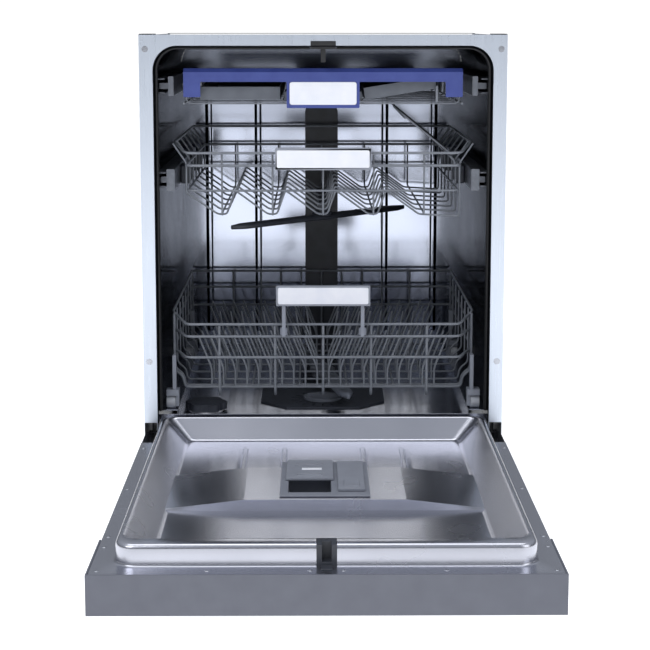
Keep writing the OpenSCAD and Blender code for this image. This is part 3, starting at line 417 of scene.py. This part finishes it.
def makeFoldingTines(t):
    runs = [([(-t["reach"], t["y"], t["rod"]), (t["reach"], t["y"], t["rod"])], 4)]
    for i in range(-t["count"], t["count"] + 1):
        if i:
            x, side = i * t["pitch"], (1 if i > 0 else -1)
            path = [(x, t["y"], t["rod"]), (x, t["y"] + 4, 295), (x + side * 9, t["y"] + t["lean"], t["top"])]
            runs.append((bent(path, 8, 3), 3.4))
    return settle(wireSet("folding_tine_row", runs), "rackWire", "lower_tines")


makeFoldingTines(foldingTines)
rackParts = {
    "lower_handle": ("rackGrey", 0.9, 3, 3), "lower_handle_insert": ("silverInsert", 0.8, 3, 3),
    "wheel_carriers": ("rackGrey", 1.2, 2), "lower_wheels_front": ("wheelGrey", 1.1, 3),
    "lower_wheels_rear": ("wheelGrey", 1.1, 3),
}
softenAll(rackParts)
print("tines, wheels and lower handle made")


# Upper rack

upperRack = {
    "halfWidth": 250, "baseHalf": 228, "front": 35, "back": 520, "top": 670,
    "frontWires": (655.5, 634.6, 593), "floor": 552, "thick": 4.6, "thin": 3.2,
    "rows": 7, "tooth": 84, "flat": 15, "steep": 14, "rise": 40, "teeth": 4, "firstTooth": -176,
}


def makeUpperRack(r):
    w, b, f, k, top = r["halfWidth"], r["baseHalf"], r["front"], r["back"], r["top"]
    high, middle, low = r["frontWires"]
    rim = [(w, k, top), (w, f + 52, top), (w - 8, f + 36, (top + high) / 2), (b, f, high)]
    runs = [(bent(rim + [(-x, y, z) for x, y, z in reversed(rim)], 10, 4, True), r["thick"], True)]
    for level, width in ((middle, r["thick"]), (low, 3.8)):
        inner = b if level == middle else b - 3.2
        loop = [(inner, k, level), (inner, f, level), (-inner, f, level), (-inner, k, level)]
        runs.append((bent(loop, 14, 4, True), width, True))
    lowPoints = []
    for i in range(r["teeth"]):
        x = r["firstTooth"] + i * r["tooth"]
        lowPoints += [(x, r["floor"]), (x + r["flat"], r["floor"]),
                      (x + r["flat"] + r["steep"], r["floor"] + r["rise"])]
    lowPoints.append((r["firstTooth"] + r["teeth"] * r["tooth"], r["floor"]))
    for i in range(r["rows"]):
        y = f + 16 + i * (k - f - 32) / (r["rows"] - 1)
        path = [(-w, y, top), (-b, y, top - 32), (-b, y, r["floor"] + 36)]
        path += [(x, y, z) for x, z in lowPoints]
        path += [(b, y, r["floor"] - 4), (b, y, top - 32), (w, y, top)]
        runs.append((bent(path, 5, 3), r["thin"]))
    for i in range(r["teeth"] + 1):
        x = r["firstTooth"] + i * r["tooth"] + 8
        path = [(x, f + 4, high - 3), (x, f + 4, r["floor"] - 1), (x, f + 12, r["floor"] + 3.3),
                (x, k - 12, r["floor"] + 3.3), (x, k - 4, r["floor"] + 6), (x, k - 4, middle)]
        runs.append((bent(path, 6, 3), r["thin"]))
    for y in (71, 472):
        runs.append((bent([(214, y, 647), (221, y, 640), (221, y, 634)], 4), 4.2))
    return settle(wireSet("upper_rack_wires", runs), "rackWire", "upper_basket")


makeUpperRack(upperRack)

cupShelf = {"hinge": (214, 652), "tip": (132, 719), "start": 85, "end": 460, "loops": 8}


def makeCupShelf(s):
    (x0, z0), (x1, z1) = s["hinge"], s["tip"]
    runs = [([(x0, s["start"] - 22, z0), (x0, s["end"] + 22, z0)], 4)]
    pitch = (s["end"] - s["start"]) / (2 * s["loops"] - 1)
    for i in range(s["loops"]):
        y = s["start"] + 2 * i * pitch
        path = [(x0, y, z0), (x1 + 20, y, z1 - 17), (x1, y, z1), (x1, y + pitch, z1),
                (x1 + 20, y + pitch, z1 - 17), (x0, y + pitch, z0)]
        runs.append((bent(path, 6, 4), 3.2))
    runs.append(([(x1 + 6, s["start"] - 6, z1 - 8), (x1 + 6, s["end"] + 6, z1 - 8)], 3.6))
    return settle(wireSet("cup_shelf_wires", runs), "rackWire", "cup_shelf")


makeCupShelf(cupShelf)
upperParts = {
    "upper_handle": ("rackGrey", 0.9, 3, 3), "upper_handle_insert": ("silverInsert", 0.8, 3, 3),
    "height_adjusters": ("darkPlastic", 3.0, 3), "upper_rails": ("railSteel", 0.8, 2, 4),
    "tray_rails": ("railSteel", 0.8, 2, 3.4), "rail_guides": ("railSteel", 0.7, 2),
}
softenAll(upperParts)
print("upper rack made")


# Cutlery drawer

trayWires = {
    "half": 230, "front": 41, "back": 528, "top": 769, "floor": 737, "rows": 7, "runs": (-66, -22, 22, 66),
    "earX": 188.5, "earY": (45, 523.7), "earZ": (739, 766), "ear": 5,
}


def makeTrayWires(t):
    w, f, k = t["half"], t["front"], t["back"]
    rim = [(w, f + 2, t["top"]), (w, k, t["top"]), (-w, k, t["top"]), (-w, f + 2, t["top"])]
    runs = [(bent(rim, 16, 5), 4)]
    for side in (-1, 1):
        runs.append((bent([(side * w, f + 2, t["floor"]), (side * w, k - 4, t["floor"]),
                           (side * w, k, t["top"])], 14, 4), 4))
    for i in range(t["rows"]):
        y = f + 10 + i * (k - f - 20) / (t["rows"] - 1)
        half = [(w - 3.6, y, t["top"]), (w - 3.6, y, t["floor"])]
        runs.append((bent(half + [(-a, b, c) for a, b, c in reversed(half)], 9), 3.2))
    for x in t["runs"]:
        runs.append(([(x, f + 4, t["floor"] + 3.3), (x, k - 2, t["floor"] + 3.3)], 3.2))
    for y in t["earY"]:
        runs.append((bent([(t["earX"], y, z) for z in t["earZ"]], 3), t["ear"]))
    return settle(wireSet("cutlery_drawer_wires", runs), "rackWire", "tray_frame")


makeTrayWires(trayWires)
drawerParts = {
    "tray_handle": ("bluePlastic", 0.8, 2, 2.2), "tray_handle_insert": ("silverInsert", 0.8, 3, 4),
    "cutlery_trays": ("trayGrey", 0.6, 2), "cutlery_tray_right": ("trayGrey", 0.6, 2),
}
softenAll(drawerParts)
print("cutlery drawer made")


# Spray arms

lowerArm = {"centre": (0, 290, 230), "turn": -79, "reach": 230, "width": 34, "thick": 11, "collar": -7}
upperArm = {"centre": (0, 283.5, 515), "turn": 45, "reach": 222, "width": 34, "thick": 10, "collar": 5}


# A hollow arm: flattened oval sections that narrow to the tips, a hub, and raised jets.
def makeArm(name, a, paintName, node):
    form = bmesh.new()
    stations, sides = 17, 20
    rings = []
    for i in range(stations):
        s = -1 + 2 * i / (stations - 1)
        x = s * a["reach"]
        edge = max(0.0, (abs(x) - (a["reach"] - 14)) / 14)
        half = a["width"] / 2 * (1 - 0.2 * abs(s)) * sqrt(max(0.02, 1 - edge * edge * 0.97))
        half *= 1.4 if abs(x) < 20 else 1.0
        ring = []
        for j in range(sides):
            angle = 2 * pi * j / sides
            across = half * abs(cos(angle)) ** 0.7 * (1 if cos(angle) > 0 else -1)
            lift = a["thick"] / 2 * abs(sin(angle)) ** 0.8 * (1 if sin(angle) > 0 else -1)
            ring.append(form.verts.new((x, across, a["thick"] / 2 + lift * (1 - 0.25 * edge))))
        rings.append(ring)
    for one, two in zip(rings, rings[1:]):
        for j in range(sides):
            form.faces.new((one[j], one[(j + 1) % sides], two[(j + 1) % sides], two[j]))
    form.faces.new(rings[0])
    form.faces.new(rings[-1])
    for side in (-1, 1):
        for i in range(1, 5):
            place = Matrix.Translation((side * (a["reach"] - 12 - i * 38), side * 5, a["thick"] - 0.4))
            bmesh.ops.create_cone(form, cap_ends=True, segments=16, radius1=5, radius2=3, depth=1.6,
                                  matrix=place)
    hubHeight = abs(a["collar"]) + 6
    middle = a["thick"] / 2 + (a["thick"] / 2 + a["collar"] - hubHeight / 2 if a["collar"] > 0
                               else a["collar"] - a["thick"] / 2 + hubHeight / 2)
    bmesh.ops.create_cone(form, cap_ends=True, segments=36, radius1=19.5, radius2=18, depth=hubHeight,
                          matrix=Matrix.Translation((0, 0, middle)))
    bmesh.ops.transform(form, verts=form.verts, matrix=Matrix.Rotation(radians(a["turn"]), 4, "Z"))
    for vert in form.verts:
        vert.co = spot(a["centre"][0] + vert.co.x, a["centre"][1] + vert.co.y, a["centre"][2] + vert.co.z)
    piece = fromForm(name, form)
    edges = piece.modifiers.new("edges", "BEVEL")
    edges.width = 0.0006
    edges.segments = 2
    edges.angle_limit = radians(50)
    return settle(piece, paintName, node)


makeArm("lower_arm_shell", lowerArm, "greyPlastic", "lower_spray_arm")
makeArm("upper_arm_shell", upperArm, "darkPlastic", "upper_spray_arm")
washParts = {
    "upper_arm_feed": ("darkPlastic", 1.5, 3), "rear_duct": ("ductPlastic", 2.5, 3),
    "coarse_filter": ("darkPlastic", 0.5, 2), "filter_cup": ("greyPlastic", 0.8, 2),
    "salt_cap": ("darkPlastic", 1.2, 3), "sump": ("darkPlastic", 1.2, 2),
    "wash_pump": ("darkPlastic", 2.0, 3),
    "drain_pump": ("darkPlastic", 1.5, 3), "inlet_valve": ("whitePlastic", 1.2, 3),
    "salt_container": ("whitePlastic", 2.0, 3),
}
softenAll(washParts)
print("wash system made")


# Tub

tubBack = {
    "half": 275, "bottom": 205, "ceiling": 831, "corner": 38, "plane": 560, "ribs": (-222, -125, 125, 222),
    "ribLow": 262, "ribHigh": 764, "ribHalf": 6.5, "ribRise": 3,
}


# The back wall with its upright ribs pressed forward.
def makeTubBack(t):
    xs = set(range(-270, 271, 30)) | {-t["half"], t["half"]}
    for rib in t["ribs"]:
        xs |= {rib + d * t["ribHalf"] / 5 for d in range(-6, 7)}
    zs = set(range(210, 790, 20)) | {t["bottom"]}
    for end in (t["ribLow"], t["ribHigh"]):
        zs |= {end + d for d in range(-9, 10, 2)}
    zs |= {t["ceiling"] - t["corner"] * (1 - sin(pi / 2 * i / 8)) for i in range(9)}
    xs, zs = sorted(xs), sorted(zs)
    form = bmesh.new()
    rows = []
    for z in zs:
        over = max(0.0, z - (t["ceiling"] - t["corner"]))
        limit = t["half"] - t["corner"] + sqrt(max(0.0, t["corner"] ** 2 - over ** 2))
        row = []
        for x in xs:
            rise = 0
            for rib in t["ribs"]:
                away = hypot(x - rib, max(0.0, t["ribLow"] - z, z - t["ribHigh"]))
                rise = max(rise, min(1.0, max(0.0, (t["ribHalf"] - away) / 4)))
            rise = rise * rise * (3 - 2 * rise)
            row.append(form.verts.new(spot(max(-limit, min(limit, x)), t["plane"] - t["ribRise"] * rise, z)))
        rows.append(row)
    for one, two in zip(rows, rows[1:]):
        for i in range(len(xs) - 1):
            form.faces.new((one[i], one[i + 1], two[i + 1], two[i]))
    bmesh.ops.remove_doubles(form, verts=form.verts, dist=0.00005)
    return settle(fromForm("tub_back_pressing", form), "backSteel", "tub_back")


makeTubBack(tubBack)

trimCorner = {"x": 277, "z": 832.6, "radius": 40, "depth": (-1.1, -0.2)}


# Fills the two square corners of the front frame down to the tub's round ones.
def makeTrimCorners(t):
    form = bmesh.new()
    for side in (-1, 1):
        centre = (t["x"] - t["radius"], t["z"] - t["radius"])
        outline = [(t["x"], t["z"])] + [(centre[0] + t["radius"] * cos(pi / 2 * i / 10),
                                         centre[1] + t["radius"] * sin(pi / 2 * i / 10)) for i in range(11)]
        fan = [form.verts.new(spot(side * x, t["depth"][0], z)) for x, z in outline]
        faces = [form.faces.new((fan[0], fan[i], fan[i + 1])) for i in range(1, 11)]
        grown = bmesh.ops.extrude_face_region(form, geom=faces)
        moved = [v for v in grown["geom"] if isinstance(v, bmesh.types.BMVert)]
        bmesh.ops.translate(form, verts=moved, vec=(0, (t["depth"][1] - t["depth"][0]) * mm, 0))
    return rideWith(fromForm("trim_corner_webs", form, False), "trimSteel", "front_trim")


makeTrimCorners(trimCorner)

gasket = {
    "half": 275, "ceiling": 831, "corner": 38, "low": 225, "rows": (9.6, 14.2, 18.8, 23.4), "width": 4.5,
    "latchHalf": 21.5,
}


# A ribbed seal: parallel beads that follow the mouth of the tub, parted at the latch.
def makeGasket(g):
    inset = g["width"] / 2 + 0.3
    x, top, turn = g["half"] - inset, g["ceiling"] - inset, g["corner"] - inset
    runs = []
    for y in g["rows"]:
        for side in (-1, 1):
            arc = []
            for i in range(11):
                angle = pi / 2 * i / 10
                arc.append((side * (x - turn + turn * sin(angle)), y, top - turn + turn * cos(angle)))
            path = [(side * g["latchHalf"], y, top)] + arc + [(side * x, y, g["low"])]
            runs.append((path, g["width"]))
    return settle(wireSet("door_seal_beads", runs, spot, 3), "gasketRubber", "door_gasket")


makeGasket(gasket)
cabinetParts = {
    # tub_wrap gets the near-black steel, painted shade.
    "tub_wrap": ("tubSteel", 0.5, 2), "tub_floor": ("floorSteel", 0.6, 2),
    "front_trim": ("trimSteel", 0.35, 2),
    "trim_screw_caps": ("screwSteel", 0.2, 2), "worktop_brackets": ("blackPaint", 0.5, 2),
    "latch_strike": ("blackPaint", 0.3, 2), "side_panels": ("zincSheet", 0.35, 2),
    "rear_panel": ("zincSheet", 0.35, 2), "base_pan": ("darkPlastic", 1.0, 2),
    "levelling_feet": ("gasketRubber", 1.0, 2), "toe_kick": ("blackPaint", 0.6, 2),
    "hinge_brackets": ("blackPaint", 0.6, 2), "insulation_blanket": ("bitumenFelt", 1.6, 2),
}
softenAll(cabinetParts)
print("cabinet made")


# Door

doorLiner = {
    "rings": [  # half width, low u, high u, corner, height
        (297, -27, 679, 2, -1.2), (297, -27, 679, 2, 0), (272, -22, 654, 29, 0),
        (269.4, -19.4, 651.4, 26.4, 0.5),
        (268.3, -18.3, 650.3, 25.3, 1.8), (268, -18, 650, 25, 4), (268, -18, 650, 25, 23),
        (267.4, -17.5, 649.2, 24.6, 26), (265.9, -16.8, 647.4, 23.6, 28.2), (263.8, -15.9, 645, 22, 29),
        (261.2, -14.2, 625.4, 21, 29), (259, -12.9, 622.8, 20, 28.2), (256.8, -11.8, 620.8, 19, 26.2),
        (228, -0.4, 608, 15, -4.6), (225.4, 1.0, 606.6, 14, -6.8), (222.6, 3.0, 604.4, 12, -7.9),
        (219, 6, 601.5, 10, -8.5)],
    "side": (42, 120, 220, 320, 420, 520), "end": (-150, -13, 13, 150), "arc": 8,
    "floor": -8, "plateau": (217, 387, 15.5), "flat": 115, "taper": 12.5,
    "ribs": (-126, -63, 63, 126), "ribEnds": (58, 176), "ribHalf": 5.5, "ribRise": 2.4,
    "dispenser": (61, 199, 371),
}


def ease(t):
    t = max(0.0, min(1.0, t))
    return t * t * (3 - 2 * t)


def linerFloor(d, x, u):
    low, high, rise = d["plateau"]
    height = rise - d["taper"] * max(0.0, (abs(x) - d["flat"]) / 109)
    lift = height * ease((u - low + 0.6) / 1.2) * ease((high + 0.6 - u) / 1.2)
    for rib in d["ribs"]:
        away = hypot(x - rib, max(0.0, d["ribEnds"][0] - u, u - d["ribEnds"][1]))
        lift += d["ribRise"] * ease((d["ribHalf"] - away) / 3.5)
    return d["floor"] + lift


# The pressed liner: rings from the flange over the rim and down to the basin, and a shaped floor.
def makeDoorLiner(d):
    form = bmesh.new()
    loops = []
    for w, low, high, r, h in d["rings"]:
        path = [(w, low + r)] + [(w, u) for u in d["side"]] + [(w, high - r)]
        path += [(w - r + r * cos(pi / 2 * i / d["arc"]), high - r + r * sin(pi / 2 * i / d["arc"]))
                 for i in range(1, d["arc"] + 1)]
        path += [(x, high) for x in reversed(d["end"])] + [(-w + r, high)]
        path += [(-w + r - r * sin(pi / 2 * i / d["arc"]), high - r + r * cos(pi / 2 * i / d["arc"]))
                 for i in range(1, d["arc"] + 1)]
        path += [(-w, u) for u in reversed(d["side"])] + [(-w, low + r)]
        path += [(-w + r - r * cos(pi / 2 * i / d["arc"]), low + r - r * sin(pi / 2 * i / d["arc"]))
                 for i in range(1, d["arc"] + 1)]
        path += [(x, low) for x in d["end"]] + [(w - r, low)]
        path += [(w - r + r * sin(pi / 2 * i / d["arc"]), low + r - r * cos(pi / 2 * i / d["arc"]))
                 for i in range(1, d["arc"])]
        loops.append([(form.verts.new(onDoor(x, u, h)), x, u) for x, u in path])
    for level, (one, two) in enumerate(zip(loops, loops[1:])):
        for i in range(len(one)):
            quad = (one[i], one[(i + 1) % len(one)], two[(i + 1) % len(one)], two[i])
            x, u = sum(q[1] for q in quad) / 4, sum(q[2] for q in quad) / 4
            besideHinge = level < 2 and abs(x) > 268 and u < 42
            atLatch = 2 < level < 10 and abs(x) < 12 and u > 626
            if not besideHinge and not atLatch:
                form.faces.new([q[0] for q in quad])
    hole, holeLow, holeHigh = d["dispenser"]
    xs = set(range(-220, 221, 20)) | {-227, 227, -hole, hole}
    for crease in (-d["flat"], d["flat"]):
        xs |= {crease - 1.5, crease, crease + 1.5}
    for rib in d["ribs"]:
        xs |= {rib + s * 1.1 for s in range(-5, 6)}
    us = set(range(10, 600, 15)) | {0, 608, holeLow, holeHigh}
    for edge in d["plateau"][:2]:
        us |= {edge + s * 0.6 for s in (-4, -1, -0.4, 0.4, 1, 4)}
    for edge in d["ribEnds"]:
        us |= {edge + s * 1.1 for s in range(-5, 6)}
    xs, us = sorted(xs), sorted(us)
    grid = [[form.verts.new(onDoor(x, u, linerFloor(d, x, u))) for x in xs] for u in us]
    for j in range(len(us) - 1):
        for i in range(len(xs) - 1):
            x, u = (xs[i] + xs[i + 1]) / 2, (us[j] + us[j + 1]) / 2
            if not (abs(x) < hole and holeLow < u < holeHigh):
                form.faces.new((grid[j][i], grid[j][i + 1], grid[j + 1][i + 1], grid[j + 1][i]))
    piece = fromForm("door_liner_pressing", form)
    split = piece.modifiers.new("creases", "EDGE_SPLIT")
    split.split_angle = radians(50)
    return settle(piece, "linerSteel", "door_liner")


makeDoorLiner(doorLiner)


dispenser = {
    "gripLow": 224, "gripHigh": 236, "gripX": (-44, -2),
    "barX": (-34, -4), "barU": (246, 256),
}


# Low raised forms on the dispenser's lids: a ribbed grip and a pale bar.
def makeLidDetails(name, blocks, paintName, node):
    form = bmesh.new()
    for (x0, x1), (u0, u1), (h0, h1) in blocks:
        centre = onDoor((x0 + x1) / 2, (u0 + u1) / 2, (h0 + h1) / 2)
        size = ((x1 - x0) * mm, (u1 - u0) * mm, (h1 - h0) * mm)
        bmesh.ops.create_cube(form, size=1, matrix=Matrix.Translation(centre) @ Matrix.Diagonal((*size, 1)))
    bmesh.ops.bevel(form, geom=form.edges[:], offset=0.0004, offset_type="OFFSET", affect="EDGES",
                    segments=2, profile=0.5, material=-1)
    return rideWith(fromForm(name, form), paintName, node)


grip = [(dispenser["gripX"], (u, u + 1.6), (14.2, 15))
        for u in range(dispenser["gripLow"], dispenser["gripHigh"], 3)]
makeLidDetails("detergent_grip_ribs", grip, "dispenserGrey", "detergent_lid")
makeLidDetails("detergent_pale_bar", [(dispenser["barX"], dispenser["barU"], (14.2, 14.9))], "silverInsert",
               "detergent_lid")
doorParts = {
    "door_outer_panel": ("panelSteel", 0.35, 2), "control_fascia": ("fasciaPaint", 1.1, 3),
    "display_window": ("displayGlass", 0.4, 2), "door_latch": ("darkPlastic", 0.5, 2),
    "dispenser_body": ("dispenserGrey", 1.0, 3), "hinge_arms": ("railSteel", 0.6, 2),
    "liner_screws": ("screwSteel", 0.2, 2), "detergent_lid": ("lidGrey", 0.8, 2),
    "rinse_aid_lid": ("lidGrey", 0.8, 2), "power_button": ("fasciaPaint", 0.8, 3),
    "programme_button": ("fasciaPaint", 0.8, 3), "start_button": ("fasciaPaint", 0.8, 3),
}
softenAll(doorParts)
print("door made")


# Lights and floor

studio = {
    "floorColour": "#FFFFFF", "floorGlow": 0.75, "white": 1.1, "high": "#E4E9F2", "low": "#1C1E22",
    "strength": 0.55, "fade": (-0.1, 0.55),
    "lamps": {  # place, target, size, power, spread in degrees, pieces lit (all when empty)
        "key": ((-2.2, -3.2, 3.0), (0, 0, 0.4), (2.4, 2.0), 46, 180, ()),
        "fill": ((2.6, -2.6, 1.8), (0, 0, 0.4), (2.0, 2.4), 24, 180, ()),
        "basin": ((0, 0.56, 0.48), (0, -0.6, 0.36), (0.42, 0.36), 0.14, 90,
                  ("door_liner_pressing", "tub_floor_soft")),
        "back": ((0, -2.6, 0.25), (0, 0.62, 0.5), (1.3, 0.5), 1.1, 180, ("tub_back_pressing",)),
        "top": ((0, -0.4, 3.2), (0, -0.2, 0), (3.0, 2.0), 34, 180, ()),
    },
}


# A soft area light. Where pieces are named, it falls on those only and isn't seen itself.
def makeLight(name, place, target, size, power, spread, pieces):
    data = bpy.data.lights.new(name, "AREA")
    data.shape = "RECTANGLE"
    data.size, data.size_y = size
    data.energy = power
    data.spread = radians(spread)
    lamp = linkObject(name, data)
    lamp.location = place
    lamp.rotation_euler = (Vector(target) - Vector(place)).to_track_quat("-Z", "Y").to_euler()
    if pieces:
        group = bpy.data.collections.new(name + "_lit")
        for piece in pieces:
            group.objects.link(bpy.data.objects[piece])
        lamp.light_linking.receiver_collection = group
        lamp.visible_camera = False


world = bpy.data.worlds.new("studio")
scene.world = world
world.use_nodes = True

# White to the camera; for reflections, a bright ceiling over a darker room.
tree = world.node_tree
background = tree.nodes["Background"]
way = addNode(tree, "ShaderNodeTexCoord").outputs["Generated"]
height = addNode(tree, "ShaderNodeSeparateXYZ", {}, {"Vector": way}).outputs["Z"]
blend = addNode(tree, "ShaderNodeMapRange", {"From Min": studio["fade"][0], "From Max": studio["fade"][1]},
                {"Value": height}).outputs[0]
room = addNode(tree, "ShaderNodeMix", {"data_type": "RGBA"}, {0: blend})
room.inputs[6].default_value = hexColour(studio["low"])
room.inputs[7].default_value = hexColour(studio["high"])
tree.links.new(room.outputs[2], background.inputs["Color"])
background.inputs["Strength"].default_value = studio["strength"]
backdrop = addNode(tree, "ShaderNodeBackground", {"Color": (1, 1, 1, 1), "Strength": studio["white"]})
seen = addNode(tree, "ShaderNodeLightPath").outputs["Is Camera Ray"]
shown = addNode(tree, "ShaderNodeMixShader", {}, {0: seen, 1: background.outputs[0], 2: backdrop.outputs[0]})
tree.links.new(shown.outputs[0], tree.nodes["World Output"].inputs["Surface"])
for name, values in studio["lamps"].items():
    makeLight(name, *values)

floorForm = bmesh.new()
bmesh.ops.create_grid(floorForm, x_segments=2, y_segments=2, size=30)
floorMesh = bpy.data.meshes.new("studio_floor")
floorForm.to_mesh(floorMesh)
floorForm.free()
floor = linkObject("studio_floor", floorMesh)
floorPaint, floorTree, floorShader, floorPlace = newMaterial("pale_floor", studio["floorColour"], 0.0, 0.6)
floorShader.inputs["Emission Color"].default_value = hexColour(studio["floorColour"])
floorShader.inputs["Emission Strength"].default_value = studio["floorGlow"]
floorMesh.materials.append(floorPaint)
print("studio made")
